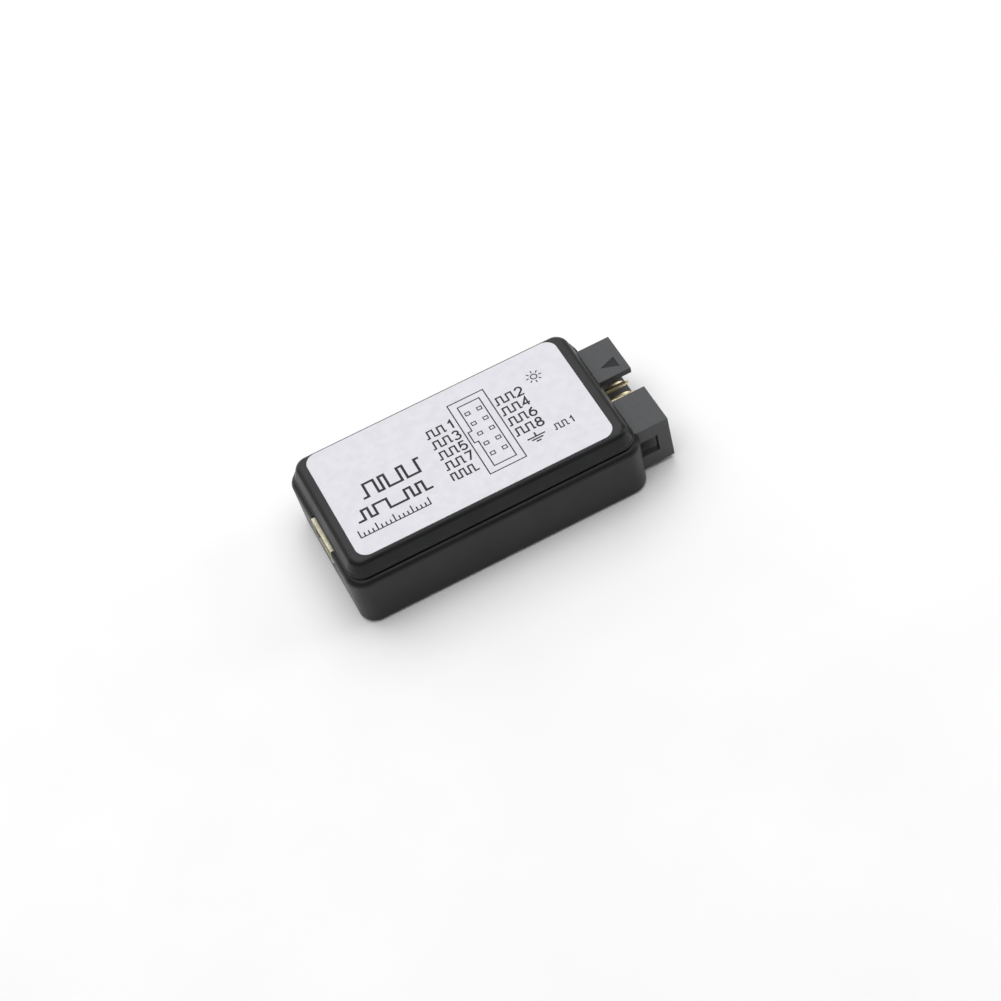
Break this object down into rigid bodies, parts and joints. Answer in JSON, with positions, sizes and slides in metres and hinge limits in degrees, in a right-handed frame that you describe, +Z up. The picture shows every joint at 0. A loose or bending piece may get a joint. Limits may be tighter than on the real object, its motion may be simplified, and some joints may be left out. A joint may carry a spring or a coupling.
{
  "type": "logic analyzer",
  "caption": "Pocket logic analyzer: a two-shell snap case with a printed label, a keyed box header at one end and a mini USB socket at the other, around a circuit board.",
  "frame": {"origin": "centre of the case's underside, where it rests on a bench; the header is centred on it across Y", "axes": "+X along the case towards the box header, -X towards the USB socket, +Z up out of the labelled face"},
  "size_m": [0.0552, 0.0272, 0.0134],
  "materials": {
    "case_black": "satin, lightly textured moulding",
    "label_white": "satin silver-white printed film",
    "solder_mask": "glossy blue solder mask",
    "header_black": "matt moulding",
    "usb_tin": "tin-plated sheet",
    "insulator_black": "matt moulding",
    "chip_epoxy": "matt moulded epoxy",
    "lead_tin": "tin-plated",
    "crystal_steel": "drawn nickel-plated can",
    "pin_plating": "thin pale gold flash over nickel",
    "contact_gold": "thin gold plating",
    "led_red": "clear tinted resin",
    "led_green": "clear tinted resin",
    "tantalum_yellow": "moulded resin",
    "ceramic_tan": "fired ceramic",
    "resistor_black": "glazed top",
    "fuse_green": "coated laminate",
    "ferrite_grey": "fired ferrite"
  },
  "bodies": {
    "shell": {"lower_shell": "case_black"},
    "board": {"circuit_board": "solder_mask", "header_shroud": "header_black", "header_pin_01": "pin_plating", "header_pin_02": "pin_plating", "header_pin_03": "pin_plating", "header_pin_04": "pin_plating", "header_pin_05": "pin_plating", "header_pin_06": "pin_plating", "header_pin_07": "pin_plating", "header_pin_08": "pin_plating", "header_pin_09": "pin_plating", "header_pin_10": "pin_plating", "usb_shell": "usb_tin", "usb_insulator": "insulator_black", "usb_contact_1": "contact_gold", "usb_contact_2": "contact_gold", "usb_contact_3": "contact_gold", "usb_contact_4": "contact_gold", "usb_contact_5": "contact_gold", "controller_chip": "chip_epoxy", "memory_chip": "chip_epoxy", "memory_leads": "lead_tin", "buffer_chip": "chip_epoxy", "buffer_leads": "lead_tin", "regulator": "chip_epoxy", "regulator_leads": "lead_tin", "crystal_base": "insulator_black", "crystal_can": "crystal_steel", "power_led": "led_red", "channel_led": "led_green", "bulk_capacitor_1": "tantalum_yellow", "bulk_capacitor_2": "tantalum_yellow", "ceramic_capacitor_1": "ceramic_tan", "ceramic_capacitor_2": "ceramic_tan", "ceramic_capacitor_3": "ceramic_tan", "ceramic_capacitor_4": "ceramic_tan", "resistor_array_1": "resistor_black", "resistor_array_2": "resistor_black", "led_resistor_1": "resistor_black", "led_resistor_2": "resistor_black", "usb_fuse": "fuse_green", "ferrite_bead": "ferrite_grey"},
    "cover": {"top_cover": "case_black", "label": "label_white"}
  },
  "joints": [
    {"name": "board_lift", "type": "slide", "parent": "shell", "child": "board", "axis": [0, 0, 1], "range_m": [0, 0.02]},
    {"name": "cover_lift", "type": "slide", "parent": "board", "child": "cover", "axis": [0, 0, 1], "range_m": [0, 0.025]}
  ]
}
